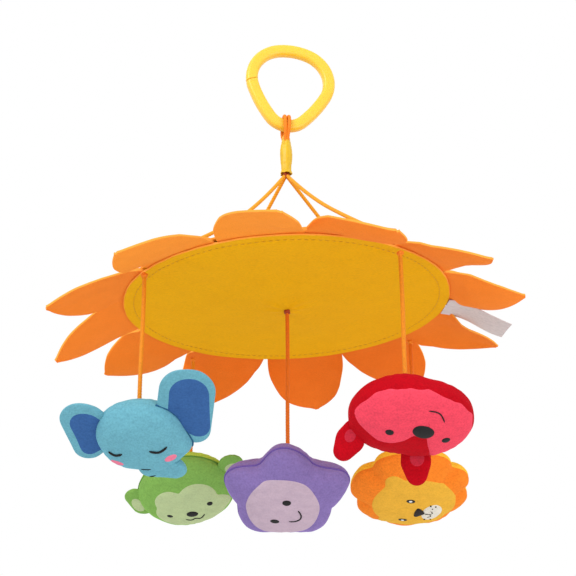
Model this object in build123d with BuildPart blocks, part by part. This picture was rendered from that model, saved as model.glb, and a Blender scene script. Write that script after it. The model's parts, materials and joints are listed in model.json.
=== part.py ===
from build123d import *
import os
from math import atan2, cos, degrees, hypot, pi, radians, sin, sqrt, tan

# Crib mobile, millimetres, +Z up, front = -Y.  The origin is the point inside the plastic
# link where a hook carries the mobile.  Everything else hangs below it.

# ---- link ------------------------------------------------------------------------------
LINK_BAR = 9.5             # width of the bar in the plane of the link
LINK_DEPTH = 8.0           # thickness of the bar across that plane
LINK_EDGE = 2.9            # rounding of the bar's edges
LINK_TIP_R = 22.0          # outer radius of the lower tip
LINK_CORNER_R = 31.5       # outer radius of the two upper corners
LINK_CORNER = (4.5, 24.5)  # centre of an upper corner, from the tip's centre
LINK_SIDE_R = 105.0        # outer radius of the two bowed sides
LINK_TOP_R = 49.0          # outer radius of the bowed top
LINK_ROLL = 5.4            # the link hangs a little askew
LINK_YAW = 10.0            # and turned a little to one side
LINK_SHIFT = 1.6           # its tip is this far to the right of the cord
SLIT_GAP = 0.7             # opening between the arm's end and the link
SLIT_TURN = 12.0           # the slit is this far round the left corner, below level
SLIT_RISE = 24.0           # slope of the slit
GATE_ROOT = 8.0            # from the tip's round to where the springy arm bends
GATE_KNUCKLE_R = 4.0

# ---- cords -----------------------------------------------------------------------------
CORD_D = 3.0
CLEARANCE = 0.3            # between pieces that move against each other
LOOP_R = 7.2               # centre line of the cord's turns round the link's bar
LOOP_SPREAD = 1.65         # half the distance between the two turns
STEM_R = 2.0               # the turns twisted together, inside the sleeve

# ---- sleeve and upper knot ---------------------------------------------------------------
SLEEVE_TOP = -73.6
SLEEVE_LENGTH = 33.4
SLEEVE_R = 4.9             # widest part of the gathered sleeve
SLEEVE_TOP_R = 3.3
SLEEVE_BORE = 2.4
KNOT_R = 3.2               # the knot that the four cords spread from
KNOT_Z = -108.0

# ---- canopy ------------------------------------------------------------------------------
CANOPY_Z = -213.0
CANOPY_TILT = 2.0          # right side higher
CANOPY_R = 120.5
FELT = 1.6                 # each of the two round panels
PETAL_FELT = 2.4
STIFFENER_R = 110.0
SEAM_R = 111.0             # petals are sewn in from here to the rim
PETAL_COUNT = 12
PETAL_START = -7.0         # azimuth of the first petal; the next ones go clockwise
PETAL_HINGE_R = 121.7      # where a petal leaves the rim
PETAL_HALF = 30.6
PETAL_LENGTH = 58.0
PETAL_DROOP = [15, 20, 16, 12, 30, 28, 33, 12, 22, 30, 40, 11]
LABEL_SIZE = (46.0, 27.0, 0.6)
LABEL_AZIMUTH = 8.0
LABEL_DROOP = 24.0

# ---- toys --------------------------------------------------------------------------------
HANG_R = 124.0             # the four outer cords hang from this radius
RIM_KNOT_R = 2.6
RIM_KNOT_DROP = 8.5        # centre of a rim knot below the canopy's middle plane
CENTRE_KNOT_DROP = 9.0
PLUSH = 1.6                # thickness of the plush skin
EAR_THICK = 6.0
PATCH_THICK = 1.0

CANOPY = Plane(
    origin=(0, 0, CANOPY_Z),
    x_dir=(cos(radians(CANOPY_TILT)), 0, sin(radians(CANOPY_TILT))),
    z_dir=(-sin(radians(CANOPY_TILT)), 0, cos(radians(CANOPY_TILT))),
)


def save(piece, name):
    """Label a finished piece and write its STEP file."""
    piece.label = name
    export_step(piece, f"parts/{name}.step")


def canopy_point(azimuth, radius, height):
    """A point given in the canopy's own, slightly tilted, frame."""
    angle = radians(azimuth)
    return CANOPY.from_local_coords(Vector(radius * cos(angle), radius * sin(angle), height))


def rod(start, end, diameter=CORD_D):
    """A straight run of cord between two points."""
    run = Vector(end) - Vector(start)
    with BuildPart() as cord:
        with BuildSketch(Plane(origin=start, z_dir=run)):
            Circle(diameter / 2)
        extrude(amount=run.length)
    return cord.part


def ball(centre, radius):
    return Sphere(radius, mode=Mode.PRIVATE).moved(Location(centre))


# ==== link: a rounded triangle with a slit, moulded in one ================================
# Six arcs that run smoothly into each other: tip, side, corner, top, corner, side.
corner_x, corner_y = LINK_CORNER
top_y = corner_y - sqrt((LINK_TOP_R - LINK_CORNER_R) ** 2 - corner_x**2)
top_angle = atan2(corner_y - top_y, corner_x)

span = hypot(corner_x, corner_y)
to_tip = LINK_SIDE_R - LINK_TIP_R
to_corner = LINK_SIDE_R - LINK_CORNER_R
along = (to_tip**2 - to_corner**2 + span**2) / (2 * span)
aside = sqrt(to_tip**2 - along**2)
side_x = (along * corner_x - aside * corner_y) / span    # centre of the right side's arc
side_y = (along * corner_y + aside * corner_x) / span
tip_angle = atan2(-side_y, -side_x)
side_angle = atan2(corner_y - side_y, corner_x - side_x)

roll, yaw = radians(LINK_ROLL), radians(LINK_YAW)
hook_x = LINK_SHIFT + top_y * sin(roll)
TIP_Z = -top_y * cos(roll) - sqrt((LINK_TOP_R - LINK_BAR) ** 2 - hook_x**2)
BAR_Z = TIP_Z - sqrt((LINK_TIP_R - LINK_BAR / 2) ** 2 - LINK_SHIFT**2)

link_plane = Plane(
    origin=(LINK_SHIFT * cos(yaw), LINK_SHIFT * sin(yaw), TIP_Z),
    x_dir=(cos(yaw) * cos(roll), sin(yaw) * cos(roll), -sin(roll)),
    z_dir=(sin(yaw), -cos(yaw), 0),
)
bar_line = Vector(cos(yaw), sin(yaw), 0)   # along the bar where the loop hangs


def link_outline(inset):
    """The link's outline, moved inwards by inset."""
    tip, side, top = degrees(tip_angle), degrees(side_angle), degrees(top_angle)
    corner_r = LINK_CORNER_R - inset
    side_r = LINK_SIDE_R - inset
    with BuildSketch() as outline:
        with BuildLine():
            CenterArc((0, 0), LINK_TIP_R - inset, 180 - tip, 180 + 2 * tip)
            CenterArc((side_x, side_y), side_r, tip, side - tip)
            CenterArc((corner_x, corner_y), corner_r, side, top - side)
            CenterArc((0, top_y), LINK_TOP_R - inset, top, 180 - 2 * top)
            CenterArc((-corner_x, corner_y), corner_r, 180 - top, top - side)
            CenterArc((-side_x, side_y), side_r, 180 - side, side - tip)
        make_face()
    return outline.sketch


with BuildPart() as link_blank:
    with BuildSketch(link_plane):
        add(link_outline(0))
        add(link_outline(LINK_BAR), mode=Mode.SUBTRACT)
    extrude(amount=LINK_DEPTH / 2, both=True)
    flat_faces = link_blank.faces().filter_by(Axis((0, 0, 0), link_plane.z_dir))
    fillet(flat_faces.edges(), LINK_EDGE)

# The springy arm runs from its root, near the tip, up to the slit on the left.
root_angle = tip_angle + GATE_ROOT / LINK_SIDE_R
arm_normal = Vector(-cos(root_angle), sin(root_angle))
root = Vector(-side_x, side_y) + (LINK_SIDE_R - LINK_BAR / 2) * arm_normal
slit_out = Vector(-cos(radians(SLIT_TURN)), -sin(radians(SLIT_TURN)))
slit = Vector(-corner_x, corner_y) + (LINK_CORNER_R - LINK_BAR / 2) * slit_out
slit_line = Vector(cos(radians(SLIT_RISE)), sin(radians(SLIT_RISE)))


def arm_zone(gap):
    """The space of the arm, grown by gap at the knuckle and at the slit."""
    slit_end = slit + Vector(0, gap)
    with BuildPart() as zone:
        with BuildSketch(link_plane):
            Polygon(
                root + 12 * arm_normal,
                root - 12 * arm_normal,
                slit_end + 11 * slit_line,
                slit_end - 11 * slit_line,
                align=None,
            )
        extrude(amount=LINK_DEPTH, both=True)
        knuckle = Plane(
            origin=link_plane.from_local_coords(root - 12 * arm_normal),
            z_dir=link_plane.from_local_coords(arm_normal) - link_plane.origin,
        )
        with BuildSketch(knuckle):
            Circle(GATE_KNUCKLE_R + gap / 2)
        extrude(amount=24)
    return zone.part


with BuildPart() as link_ring:
    add(link_blank.part)
    add(arm_zone(SLIT_GAP), mode=Mode.SUBTRACT)
save(link_ring.part, "link_ring")

with BuildPart() as link_gate:
    add(link_blank.part)
    add(arm_zone(0), mode=Mode.INTERSECT)
save(link_gate.part, "link_gate")

gate_pivot = link_plane.from_local_coords(root)
gate_axis = link_plane.from_local_coords(arm_normal) - link_plane.origin

# ==== hanger: two turns of cord round the bar, twisted together below it ==================
with BuildPart() as hanger_loop:
    for side in (-1, 1):
        turn_plane = Plane(origin=Vector(0, 0, BAR_Z) + side * LOOP_SPREAD * bar_line, z_dir=bar_line)
        with Locations(turn_plane):
            Torus(LOOP_R, CORD_D / 2)
    with BuildSketch(Plane.XY.offset(BAR_Z - LOOP_R)):
        Circle(STEM_R)
    extrude(amount=-(BAR_Z - LOOP_R - SLEEVE_TOP + 14))
save(hanger_loop.part, "hanger_loop")

# ==== sleeve: a gathered satin tube that hides the knot ===================================
sleeve_bottom = SLEEVE_TOP - SLEEVE_LENGTH
knot_bore = KNOT_R + 0.6
with BuildPart() as hanger_sleeve:
    with BuildSketch(Plane.XZ):
        with BuildLine():
            Line((SLEEVE_BORE, SLEEVE_TOP), (SLEEVE_TOP_R, SLEEVE_TOP))
            ThreePointArc(
                (SLEEVE_TOP_R, SLEEVE_TOP),
                (SLEEVE_R, SLEEVE_TOP - SLEEVE_LENGTH / 2),
                (4.2, sleeve_bottom + 4),
            )
            Line((4.2, sleeve_bottom + 4), (4.7, sleeve_bottom))
            Line((4.7, sleeve_bottom), (knot_bore, sleeve_bottom))
            Line((knot_bore, sleeve_bottom), (knot_bore - 0.4, sleeve_bottom + 3.4))
            Line((knot_bore - 0.4, sleeve_bottom + 3.4), (SLEEVE_BORE, sleeve_bottom + 7))
            Line((SLEEVE_BORE, sleeve_bottom + 7), (SLEEVE_BORE, SLEEVE_TOP))
        make_face()
    revolve(axis=Axis.Z)
save(hanger_sleeve.part, "hanger_sleeve")

with BuildPart() as suspension_knot:
    add(ball((0, 0, KNOT_Z), KNOT_R))
save(suspension_knot.part, "suspension_knot")

# ==== canopy: two felt discs over a stiffener, with petals sewn in at the rim ==============
with BuildPart() as canopy_top_panel:
    with BuildSketch(CANOPY.offset(PETAL_FELT / 2)):
        Circle(CANOPY_R)
    extrude(amount=FELT)
    fillet(canopy_top_panel.edges().sort_by(Axis(CANOPY.origin, CANOPY.z_dir))[-1], 1.0)
save(canopy_top_panel.part, "canopy_top_panel")

with BuildPart() as canopy_bottom_panel:
    with BuildSketch(CANOPY.offset(-PETAL_FELT / 2)):
        Circle(CANOPY_R)
        Circle(CORD_D / 2, mode=Mode.SUBTRACT)
    extrude(amount=-FELT)
save(canopy_bottom_panel.part, "canopy_bottom_panel")

with BuildPart() as canopy_stiffener:
    with BuildSketch(CANOPY):
        Circle(STIFFENER_R)
    extrude(amount=PETAL_FELT / 2, both=True)
save(canopy_stiffener.part, "canopy_stiffener")


def leaf_outline():
    """A pointed petal, base at v = 0, tip up."""
    shoulder = (PETAL_HALF + 0.8, 5)
    with BuildSketch() as leaf:
        with BuildLine():
            Line((0, 0), (PETAL_HALF, 0))
            Line((PETAL_HALF, 0), shoulder)
            ThreePointArc(shoulder, (0.73 * PETAL_HALF, 35), (3, PETAL_LENGTH - 1.2))
            ThreePointArc((3, PETAL_LENGTH - 1.2), (1.7, PETAL_LENGTH - 0.3), (0, PETAL_LENGTH))
            mirror(about=Plane.YZ)
        make_face()
    return leaf.sketch


for number, droop in enumerate(PETAL_DROOP, start=1):
    azimuth = PETAL_START - (number - 1) * 360 / PETAL_COUNT
    outward = canopy_point(azimuth, 1, 0) - CANOPY.origin
    across = outward.cross(CANOPY.z_dir)
    hinge = canopy_point(azimuth, PETAL_HINGE_R, 0)
    tab_plane = Plane(origin=CANOPY.origin, x_dir=across, z_dir=CANOPY.z_dir)
    down = outward.rotate(Axis((0, 0, 0), across), -droop)
    leaf_plane = Plane(origin=hinge, x_dir=across, z_dir=across.cross(down))
    with BuildPart() as petal:
        with BuildSketch(tab_plane):
            Rectangle(2 * PETAL_HALF, PETAL_HINGE_R, align=(Align.CENTER, Align.MIN))
            Circle(SEAM_R, mode=Mode.SUBTRACT)
            Polygon(
                (0, 0),
                (PETAL_HINGE_R * tan(radians(14.7)), PETAL_HINGE_R),
                (-PETAL_HINGE_R * tan(radians(14.7)), PETAL_HINGE_R),
                align=None,
                mode=Mode.INTERSECT,
            )
        extrude(amount=PETAL_FELT / 2, both=True)
        with BuildSketch(leaf_plane):
            add(leaf_outline())
        extrude(amount=PETAL_FELT / 2, both=True)
        with BuildSketch(Plane(origin=hinge - PETAL_HALF * across, z_dir=across)):
            Circle(PETAL_FELT / 2)
        extrude(amount=2 * PETAL_HALF)
    save(petal.part, f"petal_{number:02d}")

label_outward = canopy_point(LABEL_AZIMUTH, 1, 0) - CANOPY.origin
label_across = label_outward.cross(CANOPY.z_dir)
label_down = label_outward.rotate(Axis((0, 0, 0), label_across), -LABEL_DROOP)
label_root = canopy_point(LABEL_AZIMUTH, CANOPY_R + 3, -PETAL_FELT - FELT)
with BuildPart() as care_label:
    with BuildSketch(Plane(origin=label_root, x_dir=label_across, z_dir=label_across.cross(label_down))):
        Rectangle(LABEL_SIZE[1], LABEL_SIZE[0], align=(Align.CENTER, Align.MIN))
    extrude(amount=LABEL_SIZE[2] / 2, both=True)
save(care_label.part, "care_label")

# ==== the four outer hanging points ========================================================
CORNERS = {
    "near_right": 8 - 60,
    "near_left": 8 - 150,
    "far_left": 8 - 240,
    "far_right": 8 - 330,
}
knot_centre = Vector(0, 0, KNOT_Z)
for corner, azimuth in CORNERS.items():
    rim = canopy_point(azimuth, HANG_R, PETAL_FELT / 2 + 0.3)
    with BuildPart() as suspension_cord:
        add(rod(knot_centre, rim))
        add(ball(knot_centre, KNOT_R), mode=Mode.SUBTRACT)
    print("suspension cord", corner, round((rim - knot_centre).length - KNOT_R, 1))
    save(suspension_cord.part, f"suspension_cord_{corner}")


# ==== toys =================================================================================
def turned_plane(origin, tilt, turn):
    """Seam plane of a toy: its normal looks out of the face, tilt degrees below level, and
    its y axis points to the top of the face, turned anticlockwise by turn."""
    look = radians(tilt)
    sideways = Vector(1, 0, 0)
    upwards = Vector(0, -sin(look), cos(look))
    across = sideways * cos(radians(turn)) + upwards * sin(radians(turn))
    return Plane(origin=origin, x_dir=across, z_dir=(0, -cos(look), -sin(look)))


def pillow_half(outline, plane, height, rounding):
    """Half a stuffed shape, in front of the seam plane, or behind it if height is negative."""
    with BuildPart() as half:
        with BuildSketch(plane):
            add(outline)
        extrude(amount=height)
        ordered = half.faces().sort_by(Axis(plane.origin, plane.z_dir))
        crown = ordered[-1] if height > 0 else ordered[0]
        fillet(crown.edges(), rounding)
    return half.part


def plush_head(name, outline, core, plane, height, rounding):
    """Front and back panels round a core of stuffing.  Returns the whole outer shape."""
    front_outer = pillow_half(outline, plane, height, rounding)
    back_outer = pillow_half(outline, plane, -height, rounding)
    with BuildPart() as stuffing:
        add(pillow_half(core, plane, height - PLUSH, rounding - PLUSH))
        add(pillow_half(core, plane, PLUSH - height, rounding - PLUSH))
    with BuildPart() as front:
        add(front_outer)
        add(stuffing.part, mode=Mode.SUBTRACT)
    with BuildPart() as back:
        add(back_outer)
        add(stuffing.part, mode=Mode.SUBTRACT)
    save(front.part, f"{name}_front")
    save(back.part, f"{name}_back")
    save(stuffing.part, f"{name}_stuffing")
    with BuildPart() as whole:
        add(front_outer)
        add(back_outer)
    return whole.part


def hull_of(circles):
    """The band round a few circles, each given as (x, y, radius)."""
    with BuildSketch() as shape:
        with BuildLine():
            for x, y, radius in circles:
                CenterArc((x, y), radius, 0, 360)
        make_hull()
    return shape.sketch


def pad(name, outline, plane, low, high, head):
    """A flat stuffed piece sewn into the head's seam, such as an ear."""
    with BuildPart() as piece:
        with BuildSketch(plane.offset(low)):
            add(outline)
        extrude(amount=high - low)
        add(head, mode=Mode.SUBTRACT)
    save(piece.part, name)


def patch(name, outline, plane, height):
    """A thin face patch on the crown of the front panel."""
    with BuildPart() as piece:
        with BuildSketch(plane.offset(height)):
            add(outline)
        extrude(amount=PATCH_THICK)
    save(piece.part, name)


def hang(name, anchor, middle, tilt, height, knot_name):
    """The knot and the cord that carry a toy.  The cord ends just above the flat of the back,
    which slopes away from the cord, so the gap there allows for the slope."""
    look = radians(tilt)
    back = middle.Z + (height + (middle.Y - anchor.Y) * cos(look)) / sin(look)
    end = Vector(anchor.X, anchor.Y, back + CLEARANCE + CORD_D / 2 / tan(look))
    with BuildPart() as knot:
        add(ball(anchor, RIM_KNOT_R))
    save(knot.part, knot_name)
    with BuildPart() as cord:
        add(rod(anchor, end))
        add(ball(anchor, RIM_KNOT_R + CLEARANCE), mode=Mode.SUBTRACT)
    save(cord.part, f"{name}_cord")
    length = anchor.Z - RIM_KNOT_R - CLEARANCE - end.Z
    print(name, "cord", round(length, 1), "pivot", tuple(anchor), "end", round(end.Z, 2))


# Middle of each toy: x and y follow its cord, shifted so that its weight hangs under it.
TOYS = {
    # name: (corner, z below the canopy, tilt, turn of the face, half thickness, shift x, shift y)
    "star": (None, -142.0, 61.0, 0.0, 15.0, 0.0, 0.0),
    "elephant": ("near_left", -126.0, 61.0, 20.0, 15.0, 0.7, 3.1),
    "dog": ("near_right", -121.0, 68.0, 150.0, 15.0, 0.9, -0.9),
    "monkey": ("far_left", -117.0, 61.0, 23.0, 15.0, 0.0, 0.0),
    "lion": ("far_right", -123.0, 70.0, 79.0, 15.0, 0.0, 0.0),
}
SOFT_EDGE = 11.0
planes = {}
for name, (corner, drop, tilt, turn, height, shift_x, shift_y) in TOYS.items():
    if corner is None:
        anchor = canopy_point(0, 0, -CENTRE_KNOT_DROP)
        knot_name = "centre_knot"
    else:
        anchor = canopy_point(CORNERS[corner], HANG_R, -RIM_KNOT_DROP)
        knot_name = f"rim_knot_{corner}"
    middle = Vector(anchor.X + shift_x, anchor.Y + shift_y, CANOPY_Z + drop)
    hang(name, anchor, middle, tilt, height, knot_name)
    planes[name] = turned_plane(middle, tilt, turn)

# ---- star: five soft lobes ----------------------------------------------------------------
def star_outline(reach, waist, lobe_r, notch_r):
    points = []
    for step in range(10):
        radius = reach if step % 2 == 0 else waist
        angle = pi / 2 + step * pi / 5
        points.append((radius * cos(angle), radius * sin(angle)))
    with BuildSketch() as shape:
        Polygon(*points, align=None)
        corners = shape.vertices().sort_by_distance((0, 0))
        fillet(corners[5:], lobe_r)
        fillet(shape.vertices().sort_by_distance((0, 0))[:5], notch_r)
    return shape.sketch


star = planes["star"]
plush_head(
    "star",
    star_outline(55.0, 33.0, 14.5, 14.0),
    star_outline(52.5, 31.5, 13.0, 14.0),
    star,
    15.0,
    SOFT_EDGE,
)
with BuildSketch() as star_face:
    with Locations((-2, -3)):
        Circle(26)
patch("star_face_patch", star_face.sketch, star, 15.0)

# ---- elephant: round head, two big ears, a short trunk -------------------------------------
elephant = planes["elephant"]
elephant_head = plush_head(
    "elephant",
    hull_of([(-3, 3, 27), (4, 3, 27), (0, -17, 14)]),
    hull_of([(-3, 3, 25.4), (4, 3, 25.4), (0, -17, 12.4)]),
    elephant,
    15.0,
    SOFT_EDGE,
)
for side, ear in ((-1, "elephant_ear_left"), (1, "elephant_ear_right")):
    ear_shape = hull_of([(side * 35, 26, 17), (side * 38, 3, 10), (side * 24, 12, 12)])
    pad(ear, ear_shape, elephant, -EAR_THICK / 2, EAR_THICK / 2, elephant_head)
pad("elephant_trunk", hull_of([(2, -27, 8), (12, -34, 7.5)]), elephant, -3, 7, elephant_head)

# ---- monkey: round head with ears at the sides ----------------------------------------------
monkey = planes["monkey"]
monkey_head = plush_head(
    "monkey",
    hull_of([(-3, 0, 34.5), (3, 0, 34.5)]),
    hull_of([(-3, 0, 32.9), (3, 0, 32.9)]),
    monkey,
    15.0,
    SOFT_EDGE,
)
for side, ear in ((-1, "monkey_ear_left"), (1, "monkey_ear_right")):
    pad(ear, hull_of([(side * 39, 6, 10)]), monkey, -EAR_THICK / 2, EAR_THICK / 2, monkey_head)
patch("monkey_face_patch", hull_of([(-11, 4, 15), (11, 4, 15), (0, -8, 20)]), monkey, 15.0)

# ---- dog: wide head with two ears that hang down ---------------------------------------------
dog = planes["dog"]
dog_head = plush_head(
    "dog",
    hull_of([(-6, 0, 34), (6, 0, 34)]),
    hull_of([(-6, 0, 32.4), (6, 0, 32.4)]),
    dog,
    15.0,
    SOFT_EDGE,
)
EAR_FALL = 20.0            # the ears face forward and a little down
DOG_EARS = {
    # name: (root across the head, root above the head's middle, root in depth, swing outwards)
    "dog_ear_left": (-36.0, -8.0, 9.0, -14.0),
    "dog_ear_right": (4.0, -9.0, 29.0, 0.0),
}
for ear, (across, above, behind, swing) in DOG_EARS.items():
    ear_plane = turned_plane(dog.origin + Vector(across, behind, above), EAR_FALL, swing)
    pad(ear, hull_of([(0, 0, 8), (0, -14, 10), (0, -23, 7)]), ear_plane, -3, 3, dog_head)

# ---- lion: scalloped mane, one face patch -----------------------------------------------------
lion = planes["lion"]
MANE_LOBES = 10
with BuildSketch() as mane:
    Circle(38)
    with PolarLocations(32.5, MANE_LOBES):
        Circle(13)
    fillet(mane.vertices(), 2.5)
with BuildSketch() as mane_core:
    Circle(38)
plush_head("lion", mane.sketch, mane_core.sketch, lion, 15.0, 9.0)
patch("lion_face_patch", hull_of([(0, 0, 26), (-5, -3, 26)]), lion, 15.0)

print("gate pivot", tuple(gate_pivot), "axis", tuple(gate_axis))
print("loop pivot", (0, 0, BAR_Z), "axis", tuple(bar_line))
print("knot", KNOT_Z)
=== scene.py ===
import json
from math import atan2, cos, hypot, pi, radians, sin, sqrt, tan

import bmesh
import bpy
import numpy as np
from mathutils import Matrix, Vector, noise
from mathutils.bvhtree import BVHTree


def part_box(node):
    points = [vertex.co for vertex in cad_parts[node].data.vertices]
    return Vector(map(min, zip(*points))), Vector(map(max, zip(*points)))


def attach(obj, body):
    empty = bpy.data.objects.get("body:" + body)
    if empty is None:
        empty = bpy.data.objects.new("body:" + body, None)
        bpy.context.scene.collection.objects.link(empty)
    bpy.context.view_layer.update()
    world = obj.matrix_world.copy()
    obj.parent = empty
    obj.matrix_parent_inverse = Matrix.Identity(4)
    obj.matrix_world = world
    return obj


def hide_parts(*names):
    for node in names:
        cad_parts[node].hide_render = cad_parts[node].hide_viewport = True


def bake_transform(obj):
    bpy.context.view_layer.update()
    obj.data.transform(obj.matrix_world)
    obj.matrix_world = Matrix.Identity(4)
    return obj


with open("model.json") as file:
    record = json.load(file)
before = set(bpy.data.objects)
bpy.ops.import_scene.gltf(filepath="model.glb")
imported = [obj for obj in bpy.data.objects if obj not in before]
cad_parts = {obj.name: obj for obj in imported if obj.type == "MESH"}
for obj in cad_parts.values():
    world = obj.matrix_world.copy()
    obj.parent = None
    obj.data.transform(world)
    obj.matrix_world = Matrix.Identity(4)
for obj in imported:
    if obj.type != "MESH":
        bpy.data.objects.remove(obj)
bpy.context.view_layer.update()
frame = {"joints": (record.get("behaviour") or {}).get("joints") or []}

# Crib mobile.  Shapes are worked out in millimetres and written to the meshes in metres.
MM = 0.001
X, Y, Z = np.eye(3)

# ---- camera and light --------------------------------------------------------------------
CAMERA_AT = (0.001, -0.900, -0.581)
CAMERA_PITCH = 22.8
CAMERA_ROLL = -0.3
CAMERA_LENS = 81.75
FLOOR_Z = -0.95

# ---- link, as in part.py -----------------------------------------------------------------
LINK_BAR, LINK_DEPTH, LINK_EDGE = 9.5, 8.0, 2.9
LINK_TIP_R, LINK_CORNER_R, LINK_CORNER = 22.0, 31.5, (4.5, 24.5)
LINK_SIDE_R, LINK_TOP_R = 105.0, 49.0
LINK_ROLL, LINK_YAW, LINK_SHIFT = 5.4, 10.0, 1.6
SLIT_GAP, SLIT_TURN, SLIT_RISE = 0.7, 12.0, 24.0

# ---- canopy, as in part.py ---------------------------------------------------------------
CANOPY_Z, CANOPY_TILT, CANOPY_R = -213.0, 2.0, 120.5
FELT, PETAL_FELT = 1.6, 2.4
PETAL_START, PETAL_HINGE_R, PETAL_HALF, PETAL_LENGTH = -7.0, 121.7, 30.6, 58.4
SAG = 5.0                  # the star's weight pulls the middle of the canopy down
CORD_D = 3.0

# ---- colours (linear) --------------------------------------------------------------------
def rgb(code):
    """A linear colour from a hex code as a colour picker shows it."""
    parts = [int(code[i : i + 2], 16) / 255 for i in (0, 2, 4)]
    return tuple(c / 12.92 if c <= 0.04045 else ((c + 0.055) / 1.055) ** 2.4 for c in parts)


# ==== materials ===========================================================================
def new_material(name, **sockets):
    material = bpy.data.materials.new(name)
    material.use_nodes = True
    shader = material.node_tree.nodes["Principled BSDF"]
    for socket, value in sockets.items():
        if socket in ("Base_Color", "Sheen_Tint"):
            value = (*value, 1.0)
        shader.inputs[socket.replace("_", " ")].default_value = value
    return material, material.node_tree, shader


def coordinates(tree, stretch=(1, 1, 1)):
    """Object coordinates, squeezed along an axis where a grain runs one way."""
    place = tree.nodes.new("ShaderNodeTexCoord")
    mapping = tree.nodes.new("ShaderNodeMapping")
    mapping.inputs["Scale"].default_value = stretch
    tree.links.new(place.outputs["Object"], mapping.inputs["Vector"])
    return mapping.outputs["Vector"]


def noise_of(tree, where, scale, detail=3.0, rough=0.55):
    node = tree.nodes.new("ShaderNodeTexNoise")
    node.inputs["Scale"].default_value = scale
    node.inputs["Detail"].default_value = detail
    node.inputs["Roughness"].default_value = rough
    tree.links.new(where, node.inputs["Vector"])
    return node.outputs["Fac"]


def ramp(tree, value, stops):
    node = tree.nodes.new("ShaderNodeValToRGB")
    elements = node.color_ramp.elements
    while len(elements) < len(stops):
        elements.new(0.5)
    for element, (at, colour) in zip(elements, stops):
        element.position = at
        element.color = (*colour, 1.0)
    tree.links.new(value, node.inputs["Fac"])
    return node.outputs["Color"]


def multiply(tree, first, second):
    node = tree.nodes.new("ShaderNodeMix")
    node.data_type = "RGBA"
    node.blend_type = "MULTIPLY"
    node.inputs[0].default_value = 1.0
    tree.links.new(first, node.inputs[6])
    tree.links.new(second, node.inputs[7])
    return node.outputs[2]


def bump(tree, shader, layers):
    """Bump layers, each (height, strength, distance in metres), coarse first."""
    normal = None
    for height, strength, distance in layers:
        node = tree.nodes.new("ShaderNodeBump")
        node.inputs["Strength"].default_value = strength
        node.inputs["Distance"].default_value = distance
        tree.links.new(height, node.inputs["Height"])
        if normal is not None:
            tree.links.new(normal, node.inputs["Normal"])
        normal = node.outputs["Normal"]
    tree.links.new(normal, shader.inputs["Normal"])


def shaded(colour, factor):
    return tuple(min(1.0, c * factor) for c in colour)


def mottle(tree, value, colour, marks, dark, light):
    """A ramp from a darker to a lighter shade of a colour, with the colour itself between."""
    shades = (shaded(colour, dark), colour, shaded(colour, light))
    return ramp(tree, value, list(zip(marks, shades)))


def felt(name, colour, dark=0.86, light=1.10, grain=(1, 1, 1)):
    """Needled felt: a fine mottle of crossing fibres, matt, with a little fluff."""
    material, tree, shader = new_material(
        name, Roughness=0.95, Sheen_Weight=0.1, Sheen_Roughness=0.5,
        Sheen_Tint=shaded(colour, 1.3), Specular_IOR_Level=0.15,
    )
    fibres = noise_of(tree, coordinates(tree, grain), 1500, 4.0, 0.65)
    cloudy = noise_of(tree, coordinates(tree), 90, 3.0)
    fine = mottle(tree, fibres, colour, (0.30, 0.52, 0.74), dark, light)
    broad = ramp(tree, cloudy, [(0.32, (0.97, 0.95, 0.90)), (0.66, (1.0, 1.0, 1.0))])
    tree.links.new(multiply(tree, fine, broad), shader.inputs["Base Color"])
    bump(tree, shader, [(cloudy, 0.35, 0.0006), (fibres, 0.6, 0.00035)])
    return material


def plush(name, colour, dark=0.84, light=1.14, sheen=0.7):
    """Short velvety pile, brushed into soft patches, with a pale nap at its rim."""
    material, tree, shader = new_material(
        name, Roughness=0.92, Sheen_Weight=sheen, Sheen_Roughness=0.32,
        Sheen_Tint=shaded(colour, 1.8), Specular_IOR_Level=0.1,
    )
    hairs = noise_of(tree, coordinates(tree), 800, 3.0, 0.6)
    brushed = noise_of(tree, coordinates(tree, (1, 1, 2.5)), 140, 3.0, 0.6)
    fine = mottle(tree, hairs, colour, (0.28, 0.5, 0.75), dark, light)
    broad = ramp(tree, brushed, [(0.30, (0.90, 0.90, 0.92)), (0.62, (1.0, 1.0, 1.0))])
    tree.links.new(multiply(tree, fine, broad), shader.inputs["Base Color"])
    bump(tree, shader, [(brushed, 0.35, 0.0009), (hairs, 0.45, 0.0004)])
    return material


def thread(name, colour):
    """Cord or stitching: fine fibres along the strand."""
    material, tree, shader = new_material(
        name, Roughness=0.6, Sheen_Weight=0.1, Sheen_Roughness=0.4,
        Sheen_Tint=shaded(colour, 1.4), Specular_IOR_Level=0.3,
    )
    fibres = noise_of(tree, coordinates(tree, (1, 1, 0.3)), 2600, 3.0)
    shades = mottle(tree, fibres, colour, (0.3, 0.55, 0.8), 0.72, 1.2)
    tree.links.new(shades, shader.inputs["Base Color"])
    bump(tree, shader, [(fibres, 0.5, 0.0002)])
    return material


def satin(name, colour, rough=0.38, grain=(1, 1, 0.2)):
    """Woven satin: long floats that catch the light, with soft streaks."""
    material, tree, shader = new_material(
        name, Roughness=rough, Sheen_Weight=0.1, Sheen_Roughness=0.3,
        Sheen_Tint=shaded(colour, 1.2), Specular_IOR_Level=0.45,
    )
    streaks = noise_of(tree, coordinates(tree, grain), 900, 2.0)
    weave = noise_of(tree, coordinates(tree), 3500, 1.0)
    shades = mottle(tree, streaks, colour, (0.3, 0.55, 0.8), 0.86, 1.1)
    tree.links.new(shades, shader.inputs["Base Color"])
    bump(tree, shader, [(streaks, 0.25, 0.0002), (weave, 0.3, 0.00008)])
    return material


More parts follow.
